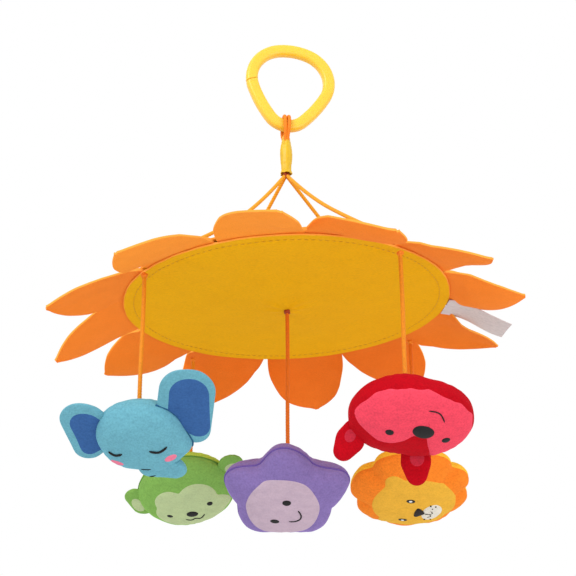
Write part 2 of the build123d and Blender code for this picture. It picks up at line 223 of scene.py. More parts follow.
def moulded_plastic(name, colour):
    """Glossy moulded plastic with light moving inside it, and a faint orange-peel skin."""
    material, tree, shader = new_material(
        name, Roughness=0.3, Subsurface_Weight=0.3, Subsurface_Scale=0.004,
        Subsurface_Radius=(1.0, 0.75, 0.2), Specular_IOR_Level=0.4, IOR=1.5,
    )
    cloudy = noise_of(tree, coordinates(tree), 70, 2.0)
    shades = ramp(tree, cloudy, [(0.3, shaded(colour, 0.96)), (0.7, colour)])
    tree.links.new(shades, shader.inputs["Base Color"])
    bump(tree, shader, [(cloudy, 0.02, 0.0002)])
    return material


MATERIALS = {
    "link": moulded_plastic("link_yellow_plastic", rgb("F2C63E")),
    "hanger_cord": thread("orange_cord", rgb("F08418")),
    "top_cord": thread("suspension_cord", rgb("E9A01C")),
    "drop_cord": thread("golden_cord", rgb("E68A10")),
    "drop_cord_deep": thread("deep_orange_cord", rgb("E46F0A")),
    "knot": thread("dark_red_knot", rgb("A8401A")),
    "satin": satin("sleeve_satin", rgb("DCB206")),
    "yellow_felt": felt("yellow_felt", rgb("EBAC00"), grain=(0.35, 1, 1)),
    # Four lit and shaded copies of one orange felt, 1 lightest to 4 deepest: painted light on the
    # near petals and painted shade on the far ones.
    "petal_1": felt("orange_felt_painted_light", rgb("FF9833")),
    "petal_2": felt("orange_felt", rgb("F9872C")),
    "petal_3": felt("orange_felt_painted_shade", rgb("F17F27")),
    "petal_4": felt("orange_felt_painted_deep_shade", rgb("EC7421")),
    # Cut edges of the felt, lighter than its faces: the felt's edge with a painted highlight along
    # it.
    "cut_edge_highlight": felt("felt_cut_edge_painted_highlight", rgb("FCA844"), dark=0.9),
    "yellow_thread": thread("yellow_thread", rgb("D9A00E")),
    "label": satin("label_satin", rgb("CDC2C2"), rough=0.5, grain=(0.2, 1, 1)),
    "stiffener": felt("stiffener_board", rgb("E8E2D6")),
    "purple": plush("purple_plush", rgb("826EA8")),
    "purple_face": plush("star_face_plush", rgb("BDA7B6"), dark=0.92, light=1.06, sheen=0.3),
    "blue": plush("blue_plush", rgb("68A6B6")),
    "blue_ear": plush("ear_print_blue", rgb("386098")),
    "red": plush("red_plush", rgb("B60416"), sheen=0.25),
    "pink": plush("pink_plush", rgb("E9475C")),
    "red_print": plush("ear_print_red", rgb("C02A3C"), sheen=0.3),
    "green": plush("green_plush", rgb("7CAA52")),
    "green_face": plush("monkey_face_plush", rgb("B3C391"), dark=0.9, light=1.06, sheen=0.3),
    "lime": plush("lime_plush", rgb("A9CC52")),
    "gold": plush("gold_plush", rgb("FBBE38")),
    "orange": plush("orange_plush", rgb("F38226")),
    "lion_face": plush("lion_face_plush", rgb("E5AD3A"), dark=0.88, light=1.08, sheen=0.3),
    "black": thread("black_embroidery", rgb("0A090A")),
    "brown": thread("brown_embroidery", rgb("1E120F")),
    "cheek": plush("cheek_print", rgb("E67C96"), dark=0.9, light=1.05, sheen=0.3),
    "muzzle": plush("muzzle_print", rgb("E0DACB"), dark=0.9, light=1.05, sheen=0.3),
    "white": thread("white_embroidery", rgb("F4F2EE")),
    # Seam threads darker than their plush: the sewn line, with painted shade of the groove between
    # the panels in its colour.
    "seam_purple": thread("seam_thread_and_shade_purple", rgb("6A4FA0")),
    "seam_blue": thread("seam_thread_and_shade_blue", rgb("1E5C84")),
    "seam_green": thread("seam_thread_and_shade_green", rgb("5C8F34")),
}


# ==== meshes ==============================================================================
def build(name, verts, faces, materials, face_materials=None, sharp=50):
    """A mesh object from points in millimetres, with its faces turned outwards."""
    mesh = bpy.data.meshes.new(name)
    mesh.from_pydata([tuple(v) for v in np.asarray(verts, float) * MM], [], faces)
    for key in materials:
        mesh.materials.append(MATERIALS[key])
    if face_materials is not None:
        mesh.polygons.foreach_set("material_index", face_materials)
    work = bmesh.new()
    work.from_mesh(mesh)
    bmesh.ops.recalc_face_normals(work, faces=work.faces)
    work.to_mesh(mesh)
    work.free()
    mesh.shade_smooth()
    mesh.set_sharp_from_angle(angle=radians(sharp))
    obj = bpy.data.objects.new(name, mesh)
    bpy.context.scene.collection.objects.link(obj)
    return obj


def skin_data(rings, loop=False):
    """Points and faces of a closed skin over rings of points, capped at both ends."""
    rings = np.asarray(rings, float)
    count, around = rings.shape[:2]
    verts = rings.reshape(-1, 3)
    faces = []
    for i in range(count if loop else count - 1):
        a, b = i * around, ((i + 1) % count) * around
        for j in range(around):
            k = (j + 1) % around
            faces.append((a + j, a + k, b + k, b + j))
    if not loop:
        verts = np.vstack([verts, rings[0].mean(0), rings[-1].mean(0)])
        first, last = count * around, count * around + 1
        for j in range(around):
            k = (j + 1) % around
            faces.append((first, k, j))
            faces.append((last, (count - 1) * around + j, (count - 1) * around + k))
    return verts, faces


def skin(name, rings, material, loop=False, sharp=50):
    return build(name, *skin_data(rings, loop), [material], sharp=sharp)


def several(name, parts, material, sharp=50):
    """One object from several closed skins, each (points, faces)."""
    verts, faces, start = [], [], 0
    for points, polygons in parts:
        verts.append(points)
        faces += [tuple(i + start for i in f) for f in polygons]
        start += len(points)
    return build(name, np.vstack(verts), faces, [material], sharp=sharp)


def place(obj, body, slot=None, nodes=()):
    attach(obj, body)
    if nodes:
        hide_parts(*nodes)
    return obj


def unit(v):
    v = np.asarray(v, float)
    return v / np.linalg.norm(v)


def smooth_step(t):
    t = np.clip(t, 0.0, 1.0)
    return t * t * (3 - 2 * t)


def spline_points(route):
    """Points along the NURBS spline of a route, in millimetres."""
    curve = bpy.data.curves.new("route", "CURVE")
    curve.dimensions = "3D"
    curve.resolution_u = 32
    spline = curve.splines.new("NURBS")
    spline.points.add(len(route) - 1)
    for point, at in zip(spline.points, route):
        point.co = (*at, 1.0)
    spline.order_u = 3
    spline.use_endpoint_u = True
    holder = bpy.data.objects.new("route", curve)
    mesh = bpy.data.meshes.new_from_object(holder)
    points = np.array([v.co for v in mesh.vertices], float)
    bpy.data.objects.remove(holder)
    bpy.data.curves.remove(curve)
    bpy.data.meshes.remove(mesh)
    return points


def distances(points):
    """How far along a line each of its points is."""
    gaps = np.linalg.norm(np.diff(points, axis=0), axis=1)
    return np.concatenate([[0], np.cumsum(gaps)])


def even(points, step):
    """The same line with its points a step apart."""
    along = distances(points)
    marks = np.linspace(0, along[-1], max(2, int(round(along[-1] / step)) + 1))
    return np.stack([np.interp(marks, along, points[:, i]) for i in range(3)], 1)


def frames_along(points):
    """A pair of cross directions at each point that turn as little as possible."""
    tangents = np.gradient(points, axis=0)
    tangents /= np.linalg.norm(tangents, axis=1)[:, None]
    start = np.cross(tangents[0], X if abs(tangents[0][0]) < 0.8 else Y)
    sides = [unit(start)]
    for t in tangents[1:]:
        sides.append(unit(sides[-1] - t * (sides[-1] @ t)))
    sides = np.array(sides)
    return sides, np.cross(tangents, sides)


def rope_rings(points, radius, pitch=6.0, strands=3, depth=0.22, around=15):
    """Rings of a laid rope: its lobes wind round the line."""
    sides, ups = frames_along(points)
    rings = []
    for p, a, b, s in zip(points, sides, ups, distances(points)):
        angle = np.linspace(0, 2 * pi, around, endpoint=False)
        lobe = np.abs(np.cos(strands / 2 * (angle - 2 * pi * s / pitch)))
        r = radius * (1 - depth + depth * lobe**0.7)
        rings.append(p + np.outer(r * np.cos(angle), a) + np.outer(r * np.sin(angle), b))
    return np.array(rings)


def tube_rings(points, radius, around=8):
    sides, ups = frames_along(points)
    angle = np.linspace(0, 2 * pi, around, endpoint=False)
    radii = np.broadcast_to(radius, len(points))
    return np.array([
        p + r * (np.outer(np.cos(angle), a) + np.outer(np.sin(angle), b))
        for p, a, b, r in zip(points, sides, ups, radii)
    ])


def rope(name, route, material, body, slot, nodes, step=0.45):
    """A free cord along a route, held taut by what hangs on it."""
    points = even(spline_points(route), step)
    obj = skin(name, rope_rings(points, CORD_D / 2), material, sharp=70)
    place(obj, body, slot, nodes)
    return obj


def knot(name, centre, size, material, body, slot, nodes, seed=0.0):
    """An overhand knot: a trefoil of cord pulled tight into a small ball."""
    t = np.linspace(0, 2 * pi, 90, endpoint=False)
    reach = 2 + np.cos(3 * t)
    line = np.stack([reach * np.cos(2 * t), reach * np.sin(2 * t), 1.6 * np.sin(3 * t)], 1)
    turn = Matrix.Rotation(seed, 3, "Z") @ Matrix.Rotation(0.5 + seed, 3, "X")
    centre = np.asarray(centre)
    line = line @ np.array(turn).T * (size - 1.05) / 3.0 + centre
    closed = np.vstack([line, line[:1]])
    rings = tube_rings(closed, 1.1, 10)[:-1]
    core = np.array([
        [
            centre + size * 0.62 * np.array((cos(a) * cos(b), sin(a) * cos(b), sin(b)))
            for a in np.linspace(0, 2 * pi, 12, endpoint=False)
        ]
        for b in np.linspace(-1.45, 1.45, 7)
    ])
    obj = several(name, [skin_data(rings, loop=True), skin_data(core)], material, sharp=70)
    return place(obj, body, slot, nodes)


# ==== link ================================================================================
corner_x, corner_y = LINK_CORNER
top_y = corner_y - sqrt((LINK_TOP_R - LINK_CORNER_R) ** 2 - corner_x**2)
top_angle = atan2(corner_y - top_y, corner_x)
span = hypot(corner_x, corner_y)
to_tip, to_corner = LINK_SIDE_R - LINK_TIP_R, LINK_SIDE_R - LINK_CORNER_R
along = (to_tip**2 - to_corner**2 + span**2) / (2 * span)
aside = sqrt(to_tip**2 - along**2)
side_x = (along * corner_x - aside * corner_y) / span
side_y = (along * corner_y + aside * corner_x) / span
tip_angle = atan2(-side_y, -side_x)
side_angle = atan2(corner_y - side_y, corner_x - side_x)
roll, yaw = radians(LINK_ROLL), radians(LINK_YAW)
hook_x = LINK_SHIFT + top_y * sin(roll)
TIP_Z = -top_y * cos(roll) - sqrt((LINK_TOP_R - LINK_BAR) ** 2 - hook_x**2)
link_x = np.array((cos(yaw) * cos(roll), sin(yaw) * cos(roll), -sin(roll)))
link_z = np.array((sin(yaw), -cos(yaw), 0.0))
link_y = np.cross(link_z, link_x)
link_origin = np.array((LINK_SHIFT * cos(yaw), LINK_SHIFT * sin(yaw), TIP_Z))
bar_line = np.array((cos(yaw), sin(yaw), 0.0))


def link_arc(centre, radius, start, end):
    """Points of the bar's centre line on one arc, and the outward direction at each."""
    angles = np.linspace(start, end, max(3, int(abs(end - start) * radius) + 1))
    out = np.stack([np.cos(angles), np.sin(angles)], 1)
    return np.asarray(centre) + (radius - LINK_BAR / 2) * out, out


def join(*runs):
    """Several runs as one, without doubled points."""
    points, outs = runs[0]
    for more, more_outs in runs[1:]:
        skip = 1 if np.linalg.norm(points[-1] - more[0]) < 0.01 else 0
        points = np.vstack([points, more[skip:]])
        outs = np.vstack([outs, more_outs[skip:]])
    return points, outs


def bar_section():
    """The bar's section: a rounded rectangle, across and through."""
    wide, deep = LINK_BAR / 2 - LINK_EDGE, LINK_DEPTH / 2 - LINK_EDGE
    section = []
    for a, b, start in (
        (wide, deep, 0), (-wide, deep, 90), (-wide, -deep, 180), (wide, -deep, 270)
    ):
        for k in range(8):
            angle = radians(start + k * 90 / 7)
            section.append((a + LINK_EDGE * cos(angle), b + LINK_EDGE * sin(angle)))
    return np.array(section)


def bar_rings(points, outs, slit_at_end):
    """Rings along the bar. The end at the slit is cut on a slope and its edge is rounded."""
    section = bar_section()
    tangents = np.gradient(points, axis=0)
    tangents /= np.linalg.norm(tangents, axis=1)[:, None]
    along = distances(points)
    from_slit = along[-1] - along if slit_at_end else along
    rings = []
    for p, out, t, s in zip(points, outs, tangents, from_slit):
        lean = (1 - smooth_step(s / 9.0)) * tan(radians(SLIT_RISE - SLIT_TURN))
        up = np.array((out[1], -out[0]))
        flat = p + section[:, :1] * out - np.outer(section[:, 0] * lean, up)
        rings.append(
            link_origin + np.outer(flat[:, 0], link_x) + np.outer(flat[:, 1], link_y)
            + np.outer(section[:, 1], link_z)
        )
    order = -1 if slit_at_end else 0
    edge = rings[order]
    middle = edge.mean(0)
    away = unit(middle - rings[-4 if slit_at_end else 3].mean(0))
    shrunk = middle + (edge - middle) * 0.93
    rounded = middle + (edge - middle) * 0.985 - away * 0.15
    if slit_at_end:
        rings = rings[:-1] + [edge - away * 0.5, rounded, shrunk]
    else:
        rings = [shrunk, rounded, edge - away * 0.5] + rings[1:]
    return np.array(rings)


left_corner, right_corner = (-corner_x, corner_y), (corner_x, corner_y)
slit_turn = radians(SLIT_TURN)
half_gap = 0.5 * SLIT_GAP / (LINK_CORNER_R - LINK_BAR / 2)
ring_run = join(
    link_arc(left_corner, LINK_CORNER_R, pi + slit_turn - half_gap, pi - top_angle),
    link_arc((0, top_y), LINK_TOP_R, pi - top_angle, top_angle),
    link_arc(right_corner, LINK_CORNER_R, top_angle, side_angle),
    link_arc((side_x, side_y), LINK_SIDE_R, side_angle, tip_angle),
    link_arc((0, 0), LINK_TIP_R, tip_angle, -pi / 2),
)
arm_run = join(
    link_arc((0, 0), LINK_TIP_R, 3 * pi / 2, pi - tip_angle),
    link_arc((-side_x, side_y), LINK_SIDE_R, pi - tip_angle, pi - side_angle),
    link_arc(left_corner, LINK_CORNER_R, pi - side_angle, pi + slit_turn + half_gap),
)
link_ring = skin("link_ring_moulding", bar_rings(*ring_run, slit_at_end=False), "link", sharp=60)
place(link_ring, "link", "link_plastic", ["link_ring"])
link_arm = skin("link_arm_moulding", bar_rings(*arm_run, slit_at_end=True), "link", sharp=60)
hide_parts("link_gate")
gate_joint = next(j for j in frame["joints"] if j["name"] == "gate_flex")
arm_up = unit(np.cross(gate_joint["axis"], link_z))
if arm_up[2] < 0:
    arm_up = -arm_up
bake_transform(link_arm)

# ==== hanger: the cord's two turns round the bar ==========================================
for name, side in (("hanger_turn_left", -1), ("hanger_turn_right", 1)):
    turn = [
        (0.8, -1.0, -87.0), (0.85, -1.2, -80.0), (0.95, -3.2, -74.9), (1.25, -5.9, -70.6),
        (1.6, -6.9, -65.8), (1.65, -6.8, -60.4), (1.65, -3.4, -57.1), (1.65, 3.4, -57.1),
        (1.65, 6.8, -60.4), (1.75, 6.9, -65.8), (1.9, 5.9, -70.6), (1.5, 3.2, -74.9),
        (0.9, 1.4, -80.0), (0.8, 1.1, -87.0),
    ]
    through = np.array((-bar_line[1], bar_line[0], 0.0))
    route = [side * a * bar_line + b * through + np.array((0, 0, c)) for a, b, c in turn]
    rope(name, route, "hanger_cord", "loop", "hanger_cord", ["hanger_loop"])

# ==== sleeve: gathered satin ==============================================================
SLEEVE_TOP, SLEEVE_LENGTH = -73.6, 33.4


def sleeve_radius(share):
    """Outside radius down the sleeve: tight at the top, full, then a flared hem."""
    radii = [2.5, 3.05, 3.7, 4.25, 4.6, 4.7, 4.6, 4.35, 3.9, 3.75, 4.5]
    k = min(int(share * 10), 9)
    t = smooth_step(share * 10 - k)
    return radii[k] * (1 - t) + radii[k + 1] * t


outer, inner = [], []
for i in range(61):
    share = i / 60
    z = SLEEVE_TOP - SLEEVE_LENGTH * share
    ring_out, ring_in = [], []
    for j in range(72):
        angle = 2 * pi * j / 72
        swirl = angle + 0.5 * share
        fold = 0.055 * sin(5 * swirl + 1.1 * sin(4 * share)) + 0.03 * sin(9 * swirl - 2 * share + 1)
        gather = 0.35 + 1.3 * (abs(share - 0.5) * 2) ** 2.0
        lump = noise.noise(Vector((cos(angle), sin(angle), share * 2.6))) * 0.3
        r = sleeve_radius(share) * (1 + fold * gather) + lump * sin(pi * share)
        ring_out.append((r * cos(angle), r * sin(angle), z))
        r_in = max(1.9 if share < 0.9 else 3.35, r - 0.5)
        ring_in.append((min(r_in, r - 0.3) * cos(angle), min(r_in, r - 0.3) * sin(angle), z))
    outer.append(ring_out)
    inner.append(ring_in)
sleeve = skin("satin_sleeve", outer + inner[::-1], "satin", loop=True, sharp=70)
place(sleeve, "hanger", "satin", ["hanger_sleeve"])

knot(
    "suspension_knot_tied", (0, 0, -108.0), 3.2, "knot", "canopy", "knot_cord", ["suspension_knot"],
    0.4
)

# ==== canopy ==============================================================================
tilt = radians(CANOPY_TILT)
canopy_x = np.array((cos(tilt), 0.0, sin(tilt)))
canopy_z = np.array((-sin(tilt), 0.0, cos(tilt)))
canopy_y = Y
canopy_origin = np.array((0.0, 0.0, CANOPY_Z))


def canopy_point(azimuth, radius, height):
    a = radians(azimuth)
    return canopy_origin + radius * (cos(a) * canopy_x + sin(a) * canopy_y) + height * canopy_z


def sag(x, y):
    """How far the layers of the canopy hang below flat at a point of its plane."""
    r = hypot(x, y)
    pull = SAG * (0.55 * (1 - smooth_step(r / 75)) + 0.45 * (1 - smooth_step(r / 22)))
    waves = 0.9 * noise.noise(Vector((x / 38, y / 38, 4.0))) * (1 - smooth_step((r - 108) / 10))
    ripples = 0.45 * sin(7 * atan2(y, x) + 1) * smooth_step((r - 3) / 5) * (
        1 - smooth_step((r - 8) / 16)
    )
    return pull + waves + ripples


def layer_point(r, angle, height):
    """A point of a layer of the canopy, at a height above its flat middle plane."""
    x, y = r * cos(angle), r * sin(angle)
    return canopy_origin + x * canopy_x + y * canopy_y + (height - sag(x, y)) * canopy_z


def rim_of(angle, base):
    ripple = 0.7 * noise.noise(Vector((3.2 * cos(angle), 3.2 * sin(angle), 1.0)))
    return base + ripple + 0.35 * noise.noise(Vector((14 * cos(angle), 14 * sin(angle), 5.0)))


STITCH_R = 113.0


def disc_panel(name, low, high, base, node, material, quilted):
    """One layer of the canopy between two heights, with a sewn channel near its rim."""
    around = 288
    shares = [
        0.004, 0.02, 0.04, 0.065, 0.09, 0.12, 0.16, 0.2, 0.26, 0.33, 0.4, 0.48, 0.56, 0.64, 0.72,
        0.8
    ]
    shares += [0.86, 0.895, 0.915, 0.928, 0.938, 0.948, 0.96, 0.975, 0.99, 0.998]

    def layer(height, face):
        rings = []
        for share in shares:
            ring = []
            for j in range(around):
                angle = 2 * pi * j / around
                r = share * rim_of(angle, base)
                x, y = r * cos(angle), r * sin(angle)
                channel = 0.4 * np.exp(-(((r - STITCH_R) / 1.5) ** 2)) if quilted else 0.0
                swell = 0.3 * noise.noise(Vector((x / 9, y / 9, 8 + face))) if quilted else 0.0
                ring.append(layer_point(r, angle, height + face * (swell * 0.5 - channel)))
            rings.append(ring)
        return rings

    rim = []
    for j in range(around):
        angle = 2 * pi * j / around
        rim.append(layer_point(rim_of(angle, base) + 0.35, angle, (low + high) / 2))
    rings = layer(high, 1) + [rim] + layer(low, -1)[::-1]
    verts, faces = skin_data(rings)
    rows = len(shares)
    # The rim faces get the lighter cut-edge felt, a painted edge highlight.
    slots = [1 if quilted and rows - 1 <= f // around <= rows else 0 for f in range(len(faces))]
    obj = build(
        name, verts, faces, [material, "cut_edge_highlight"] if quilted else [material], slots, sharp=50
    )
    return place(obj, "canopy", material, [node])


half = PETAL_FELT / 2
felt_discs = [
    disc_panel(
        "canopy_top_felt", half, half + FELT, CANOPY_R, "canopy_top_panel", "yellow_felt", True
    ),
    disc_panel(
        "canopy_under_felt", -half - FELT, -half, CANOPY_R, "canopy_bottom_panel", "yellow_felt",
        True
    ),
]
disc_panel("canopy_board", -half + 0.05, half - 0.05, 110.0, "canopy_stiffener", "stiffener", False)

stitches = []
for k in range(150):
    for face, height in ((-1, -half - FELT), (1, half + FELT)):
        start = 2 * pi * k / 150
        line = []
        for t in (0.0, 0.25, 0.5, 0.75, 1.0):
            angle = start + t * 2.9 / STITCH_R
            lift = 0.42 * sin(pi * t) - 0.5
            line.append(layer_point(STITCH_R, angle, height + face * lift))
        stitches.append(skin_data(tube_rings(np.array(line), 0.32, 6)))
place(several("canopy_stitching", stitches, "yellow_thread", sharp=80), "canopy", "yellow_felt")

# ---- petals --------------------------------------------------------------------------------
PETALS = [
    # droop at the root and at the tip, cup in mm, twist, lean, shift round the rim, extra length
    (33, -7, -5.5, 1, 8, 0.4, -3.2), (23, 21, -4.6, -5, 9, -0.4, 0.6),
    (27, 15, -6.0, 12, -8, -2.8, 0.1),
    (10, 18, 0.5, 14, -20, -0.8, 0.2), (21, 17, 0.5, -11, -2, -1.6, 1.3),
    (24, 21, 0.5, -5, -4, -4.0, 2.8),
    (32, 42, -3.3, 0, -10, 0.5, 4.0), (25, 8, -8.0, -7, -9, 0.0, 0.0),
    (25, 44, -9.0, -18, -15, 0.3, 1.2),
    (43, 14, 9.0, 6, 3, 0.2, 1.6), (21, 25, -3.0, 13, 9.5, 1.7, 0.8),
    (18, 15, 9.0, -7, 12, 3.5, 0.6),
]
# Which copy of the orange felt each petal gets, 1 lightest to 4 deepest: painted light and shade by
# where the petal hangs.
PETAL_SHADE = [2, 2, 2, 1, 1, 2, 2, 3, 4, 4, 4, 3]


def petal_half_width(v):
    """Half the width of the leaf, from its root (v = 0) to its tip."""
    marks = [0.0, 0.06, 0.18, 0.36, 0.54, 0.70, 0.84, 0.92, 0.965, 0.985, 1.0]
    width = [30.6, 31.0, 30.7, 28.0, 24.9, 20.3, 13.0, 7.4, 3.8, 2.2, 0.5]
    return np.mean(
        [np.interp(np.clip(v + d, 0, 1), marks, width) for d in (-0.045, -0.02, 0, 0.02, 0.045)],
        axis=0
    )


PETAL_TAB = 10.0
PETAL_THICK = 1.4          # the free leaf; the part in the seam is bulkier
petal_area = 2 * petal_half_width(np.linspace(0, 1, 200)).mean() * PETAL_LENGTH
petal_area = (petal_area + 2 * PETAL_HALF * PETAL_TAB * 0.96) * MM * MM
for number, (root, tip, cup, twist, lean, shift, extra) in enumerate(PETALS, start=1):
    azimuth = PETAL_START - (number - 1) * 30 + shift
    outward = unit(canopy_point(azimuth, 1, 0) - canopy_origin)
    across = np.cross(outward, canopy_z)
    length = PETAL_LENGTH + extra
    rows = list(np.linspace(-PETAL_TAB, 0, 6)[:-1]) + list(np.linspace(0, length, 44))
    spine, height, last = PETAL_HINGE_R - PETAL_TAB, 0.0, -PETAL_TAB
    rings = []
    for s in rows:
        v = max(0.0, s / length)
        bend = radians(smooth_step((s + 2.5) / 5) * (root + (tip - root) * v**1.3))
        spine += (s - last) * cos(bend)
        height -= (s - last) * sin(bend)
        last = s
        half_width = petal_half_width(v)
        bowl = cup * min(1.0, 4 * v) * (half_width / PETAL_HALF) ** 1.5
        if s < 0:
            half_width = min(half_width, (PETAL_HINGE_R + s) * tan(radians(14.6)))
        turned = radians(twist) * min(1.0, 2.5 * v)
        thick = (
            PETAL_FELT * 0.92 if s < 0 else PETAL_FELT + (
                PETAL_THICK - PETAL_FELT
            ) * smooth_step(s / 6)
        ) / 2
        normal = canopy_z * cos(bend) + outward * sin(bend)
        top, bottom = [], []
        for k in range(23):
            u = -1 + 2 * k / 22
            w = u * half_width
            ripple = 0.9 * noise.noise(
                Vector((u * 1.5, v * 2.6, number * 3.1))
            ) * smooth_step(s / 14)
            rise = bowl * (0.4 - u * u) + ripple + w * sin(turned)
            here = canopy_origin + outward * spine + canopy_z * height + normal * rise
            here = here + across * (w * cos(turned) + sin(radians(lean)) * max(0.0, s) * v)
            top.append(here + normal * thick)
            bottom.append(here - normal * thick)
        mid_right = (top[-1] + bottom[-1]) / 2 + across * 0.3
        mid_left = (top[0] + bottom[0]) / 2 - across * 0.3
        rings.append(top + [mid_right] + bottom[::-1] + [mid_left])
    verts, faces = skin_data(rings)
    around = len(rings[0])
    # The edge faces get the lighter cut-edge felt, a painted edge highlight.
    edges = {22, 23, 46, 47}
    slots = [
        1 if (
            f < (len(rings) - 1) * around and f % around in edges
        ) or f >= (len(rings) - 1) * around else 0
        for f in range(len(faces))
    ]
    petal = build(
        f"felt_petal_{number:02d}", verts, faces, [f"petal_{PETAL_SHADE[number - 1]}", "cut_edge_highlight"],
        slots, sharp=45
    )
    place(petal, "canopy", "orange_felt", [f"petal_{number:02d}"])

# ---- care label ----------------------------------------------------------------------------
LABEL_HALF, LABEL_LENGTH = 13.5, 50
label_rings = []
label_out = unit(canopy_point(8.0, 1, 0) - canopy_origin)
label_across = np.cross(label_out, canopy_z)
spine, height, last = CANOPY_R + 0.2, -half - FELT - 0.1, 0.0
for s in np.linspace(0, LABEL_LENGTH, 40):
    bend = radians(8 + 20 * smooth_step(s / 22) - 10 * smooth_step((s - 30) / 20))
    spine += (s - last) * cos(bend)
    height -= (s - last) * sin(bend)
    last = s
    top, bottom = [], []
    for k in range(13):
        u = -1 + 2 * k / 12
        curve = 0.9 * u * u * sin(s / 14) + 0.5 * noise.noise(Vector((u, s / 16, 2.0)))
        here = canopy_origin + label_out * spine + label_across * (LABEL_HALF * u)
        here = here + canopy_z * (height + curve)
        normal = unit(canopy_z * cos(bend) + label_out * sin(bend))
        top.append(here + normal * 0.25)
        bottom.append(here - normal * 0.25)
    label_rings.append(top + bottom[::-1])
label = skin("care_label_satin", label_rings, "label", sharp=40)
place(label, "canopy", "label_satin", ["care_label"])

# ==== the four suspension cords ===========================================================
CORNERS = {"near_right": -52, "near_left": -142, "far_left": -232, "far_right": -322}
for corner, azimuth in CORNERS.items():
    rim = canopy_point(azimuth, 124.0, half + 0.3)
    top = np.array((0.0, 0.0, -108.0))
    run = rim - top
    start = top + unit(run) * 2.2
    slack = {"near_left": 13.0, "near_right": 7.0}.get(corner, 0.6)
    route = [
        start,
        start + (rim - start) * 0.22 - Z * slack,
        start + (rim - start) * 0.60 - Z * slack * 0.8,
        rim,
    ]
    rope(
        f"suspension_rope_{corner}", route, "top_cord", "canopy", "hanger_cord",
        [f"suspension_cord_{corner}"],
    )

# ==== toys ================================================================================
def turned_plane(origin, tilt_deg, turn_deg):
    """(origin, across, up, normal) of a toy's seam plane."""
    look, spin = radians(tilt_deg), radians(turn_deg)
    upwards = np.array((0.0, -sin(look), cos(look)))
    across = cos(spin) * X + sin(spin) * upwards
    normal = np.array((0.0, -cos(look), -sin(look)))
    return np.asarray(origin, float), across, np.cross(normal, across), normal


def at(plane, x, y, h=0.0):
    return plane[0] + x * plane[1] + y * plane[2] + h * plane[3]


TOYS = {
    # name: (z below the canopy, tilt, turn of the face, shift x, shift y, knot, cord length)
    "star": (-142.0, 61.0, 0.0, 0.0, 0.0, "centre_knot", 0.112),
    "elephant": (-126.0, 61.0, 20.0, 0.7, 3.1, "rim_knot_near_left", 0.091),
    "dog": (-121.0, 68.0, 150.0, 0.9, -0.9, "rim_knot_near_right", 0.096),
    "monkey": (-117.0, 61.0, 23.0, -2.2, 0.0, "rim_knot_far_left", 0.085),
    "lion": (-123.0, 70.0, 79.0, -4.9, 0.0, "rim_knot_far_right", 0.098),
}
PILLOW = 15.0
planes, trees = {}, {}
for toy, (drop, tilt_deg, turn_deg, shift_x, shift_y, knot_name, length) in TOYS.items():
    pivot = next(j for j in frame["joints"] if j["name"] == f"{toy}_sway_out")["pos_m"]
    anchor = np.array(pivot) / MM
    middle = np.array((anchor[0] + shift_x, anchor[1] + shift_y, CANOPY_Z + drop))
    planes[toy] = turned_plane(middle, tilt_deg, turn_deg)
    low_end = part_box(f"{toy}_cord")[0].z / MM
    span = anchor[2] - low_end
    body = f"{toy}_line"
    cord_route = [
        anchor - Z * 1.2,
        anchor - Z * span * 0.36 + X * 0.35,
        anchor - Z * span * 0.70 - X * 0.25,
        np.array((anchor[0], anchor[1], low_end)),
    ]
    deep = toy in ("star", "lion")
    rope(
        f"{toy}_rope", cord_route, "drop_cord_deep" if deep else "drop_cord", body, "drop_cord",
        [f"{toy}_cord"],
    )
    knot(
        f"{knot_name}_tied", anchor, 2.6, "knot" if toy == "star" else "hanger_cord", knot_name,
        "knot_cord", [knot_name], seed=len(toy) * 0.7,
    )

AROUND = 144
ANGLES = np.linspace(0, 2 * pi, AROUND, endpoint=False)


def radii_of(points, centre):
    """Distance from a centre to an outline given as points, at each of ANGLES."""
    points = np.asarray(points, float) - centre
    closed = np.vstack([points, points[:1]])
    fine = []
    for a, b in zip(closed[:-1], closed[1:]):
        for t in np.linspace(0, 1, 12, endpoint=False):
            fine.append(a + t * (b - a))
    fine = np.array(fine)
    angle = np.mod(np.arctan2(fine[:, 1], fine[:, 0]), 2 * pi)
    order = np.argsort(angle)
    return np.interp(ANGLES, angle[order], np.hypot(*fine.T)[order], period=2 * pi)


def hull(circles, centre):
    """Outline of the band round a few circles, as radii about a centre."""
    points = []
    for angle in np.linspace(0, 2 * pi, 240, endpoint=False):
        n = np.array((cos(angle), sin(angle)))
        x, y, r = max(circles, key=lambda c: c[0] * n[0] + c[1] * n[1] + c[2])
        points.append(np.array((x, y)) + r * n)
    return radii_of(points, np.asarray(centre, float))


def rounded(radii, width):
    """Radii smoothed round the outline, as stuffing rounds a sewn corner."""
    reach = int(3 * width) + 1
    weights = np.exp(-0.5 * (np.arange(-reach, reach + 1) / width) ** 2)
    weights /= weights.sum()
    return sum(w * np.roll(radii, k) for w, k in zip(weights, range(-reach, reach + 1)))


def polar(marks):
    """Radii through (degrees, radius) marks given in order round the shape."""
    degrees, radii = zip(*marks)
    return np.interp(np.degrees(ANGLES), degrees, radii, period=360)


def scallops(notches, reach, sharpness=0.30):
    """Radii of a mane with (degrees, depth) notches, and how near each angle is to one."""
    radii, near = np.full(AROUND, reach), np.zeros(AROUND)
    for degrees, depth in notches:
        gap = np.abs(np.angle(np.exp(1j * (ANGLES - radians(degrees)))))
        radii -= depth * np.clip(1 - gap / sharpness, 0, 1) ** 1.8
        near += min(1.0, depth / 5) * np.exp(-((gap / 0.12) ** 2))
    return radii, near


def within(points, radii, limit=0.985):
    """Points of a toy's plane, drawn in where they pass its outline."""
    kept = []
    for x, y in points:
        reach = limit * np.interp(atan2(y, x) % (2 * pi), ANGLES, radii, period=2 * pi)
        scale = min(1.0, reach / hypot(x, y))
        kept.append((x * scale, y * scale))
    return kept


